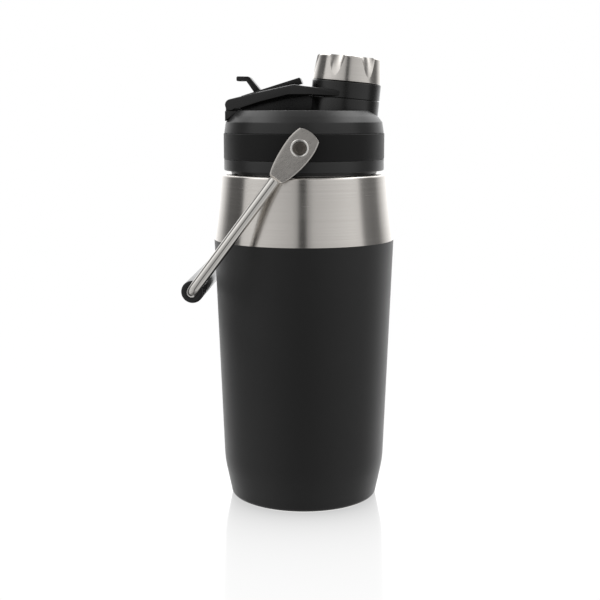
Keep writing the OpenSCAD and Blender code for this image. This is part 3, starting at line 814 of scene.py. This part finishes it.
# Light level of the boxes overhead, by the same angle
OVERHEAD = [(-180, 5.0), (-150, 3.5), (-132, 1.2), (-119, 2.6), (-100, 3.0), (-70, 2.0), (-40, 0.8), (-15, 0.3),
            (10, 0.3), (30, 0.4), (57, 1.2), (80, 2.6), (100, 3.2), (121, 4.0), (134, 5.0), (180, 5.0)]
OVERHEAD_FROM = (0.58, 0.74)   # heights over which the overhead boxes take over
ZENITH_FROM = (0.80, 0.98)     # heights over which the panel straight above takes over
ZENITH = 0.5


def world():
    """White studio: softboxes to both sides of the camera and overhead, dark gaps between them."""
    studio = bpy.data.worlds.new("studio")
    bpy.context.scene.world = studio
    studio.use_nodes = True
    tree = studio.node_tree
    tree.nodes.clear()
    out = tree.nodes.new("ShaderNodeOutputWorld")
    mixer = tree.nodes.new("ShaderNodeMixShader")
    seen = tree.nodes.new("ShaderNodeBackground")
    lit = tree.nodes.new("ShaderNodeBackground")
    path = tree.nodes.new("ShaderNodeLightPath")
    coords = tree.nodes.new("ShaderNodeTexCoord")
    split = tree.nodes.new("ShaderNodeSeparateXYZ")
    turn = tree.nodes.new("ShaderNodeMapping")
    turn.inputs["Rotation"].default_value = (0, 0, -CAMERA_YAW)
    seen.inputs["Color"].default_value = (1, 1, 1, 1)
    tree.links.new(coords.outputs["Generated"], turn.inputs["Vector"])
    tree.links.new(turn.outputs[0], split.inputs[0])

    def calc(operation, a, b=None):
        node = tree.nodes.new("ShaderNodeMath")
        node.operation = operation
        for i, value in enumerate((a, b)):
            if isinstance(value, (int, float)):
                node.inputs[i].default_value = value
            elif value is not None:
                tree.links.new(value, node.inputs[i])
        return node.outputs[0]

    def levels(value, stops, start, span, top):
        """Light level at value, from stops of (position, level), none brighter than top."""
        node = tree.nodes.new("ShaderNodeValToRGB")
        elements = node.color_ramp.elements
        elements.remove(elements[-1])
        for i, (position, level) in enumerate(stops):
            place = (position - start) / span
            element = elements[0] if i == 0 else elements.new(place)
            element.position = place
            element.color = (level / top, level / top, level / top, 1)
        tree.links.new(value, node.inputs[0])
        return calc("MULTIPLY", node.outputs["Color"], top)

    def blend(heights, a, b):
        """Goes from level a to level b over a range of heights."""
        share = tree.nodes.new("ShaderNodeMapRange")
        share.interpolation_type = "SMOOTHSTEP"
        share.inputs["From Min"].default_value = heights[0]
        share.inputs["From Max"].default_value = heights[1]
        tree.links.new(split.outputs["Z"], share.inputs["Value"])
        mix = tree.nodes.new("ShaderNodeMix")
        tree.links.new(share.outputs[0], mix.inputs["Factor"])
        for value, name in ((a, "A"), (b, "B")):
            if isinstance(value, (int, float)):
                mix.inputs[name].default_value = value
            else:
                tree.links.new(value, mix.inputs[name])
        return mix.outputs["Result"]

    front = calc("MULTIPLY", split.outputs["Y"], -1.0)
    angle = calc("ARCTAN2", split.outputs["X"], front)
    turned = calc("ADD", calc("DIVIDE", angle, TAU), 0.5)
    height = calc("ADD", calc("MULTIPLY", split.outputs["Z"], 0.5), 0.5)
    horizon = calc("MULTIPLY", levels(turned, AROUND, -180, 360, 5.0), levels(height, UPRIGHT, -1, 2, 5.0))
    above = levels(turned, OVERHEAD, -180, 360, 5.0)
    level = blend(ZENITH_FROM, blend(OVERHEAD_FROM, horizon, above), ZENITH)
    tree.links.new(level, lit.inputs["Strength"])
    tree.links.new(path.outputs["Is Camera Ray"], mixer.inputs["Fac"])
    tree.links.new(lit.outputs[0], mixer.inputs[1])
    tree.links.new(seen.outputs[0], mixer.inputs[2])
    tree.links.new(mixer.outputs[0], out.inputs["Surface"])


def floor():
    """Pale floor that mirrors the bottle faintly near its foot."""
    bm = bmesh.new()
    size = 3000.0
    bm.faces.new([bm.verts.new((x * size, y * size, 0)) for x, y in ((-1, -1), (1, -1), (1, 1), (-1, 1))])
    plane = finish_mesh("floor", bm)
    plane.location.z = -0.0001
    material = bpy.data.materials.new("floor")
    material.use_nodes = True
    tree = material.node_tree
    tree.nodes.clear()
    out = tree.nodes.new("ShaderNodeOutputMaterial")
    mixer = tree.nodes.new("ShaderNodeMixShader")
    white = tree.nodes.new("ShaderNodeEmission")
    mirror = tree.nodes.new("ShaderNodeBsdfGlossy")
    mirror.inputs["Roughness"].default_value = 0.10
    mirror.inputs["Color"].default_value = (1, 1, 1, 1)
    coords = tree.nodes.new("ShaderNodeTexCoord")
    distance = tree.nodes.new("ShaderNodeVectorMath")
    distance.operation = "LENGTH"
    tree.links.new(coords.outputs["Object"], distance.inputs[0])
    nearness = tree.nodes.new("ShaderNodeMath")
    nearness.operation = "DIVIDE"
    nearness.inputs[0].default_value = 0.036
    tree.links.new(distance.outputs["Value"], nearness.inputs[1])
    fade = tree.nodes.new("ShaderNodeMath")
    fade.operation = "POWER"
    fade.inputs[1].default_value = 1.8
    tree.links.new(nearness.outputs[0], fade.inputs[0])
    share = tree.nodes.new("ShaderNodeMath")
    share.operation = "MULTIPLY"
    share.use_clamp = True
    share.inputs[1].default_value = 0.33
    tree.links.new(fade.outputs[0], share.inputs[0])
    tree.links.new(share.outputs[0], mixer.inputs["Fac"])
    tree.links.new(white.outputs[0], mixer.inputs[1])
    tree.links.new(mirror.outputs[0], mixer.inputs[2])
    tree.links.new(mixer.outputs[0], out.inputs["Surface"])
    plane.data.materials.append(material)
    plane.visible_glossy = False
    plane.visible_diffuse = False


def camera():
    data = bpy.data.cameras.new("camera")
    data.lens = 72.12
    data.sensor_width = 36.0
    obj = bpy.data.objects.new("camera", data)
    obj.location = Matrix.Rotation(CAMERA_YAW, 3, "Z") @ Vector((-0.00176, -0.534, 0.1728))
    obj.rotation_euler = (math.radians(81.02), 0, CAMERA_YAW)
    bpy.context.scene.collection.objects.link(obj)
    bpy.context.scene.camera = obj


steel_shell()
coat_sleeve()
collar_shell()
collar_band()
lid_deck()
pivot_hardware()
bail_rod()
bail_sleeve()
strap()
lever()
cap_outer()
cap_inner()
kept_nodes()
world()
floor()
camera()
bpy.context.scene.view_settings.view_transform = "Standard"
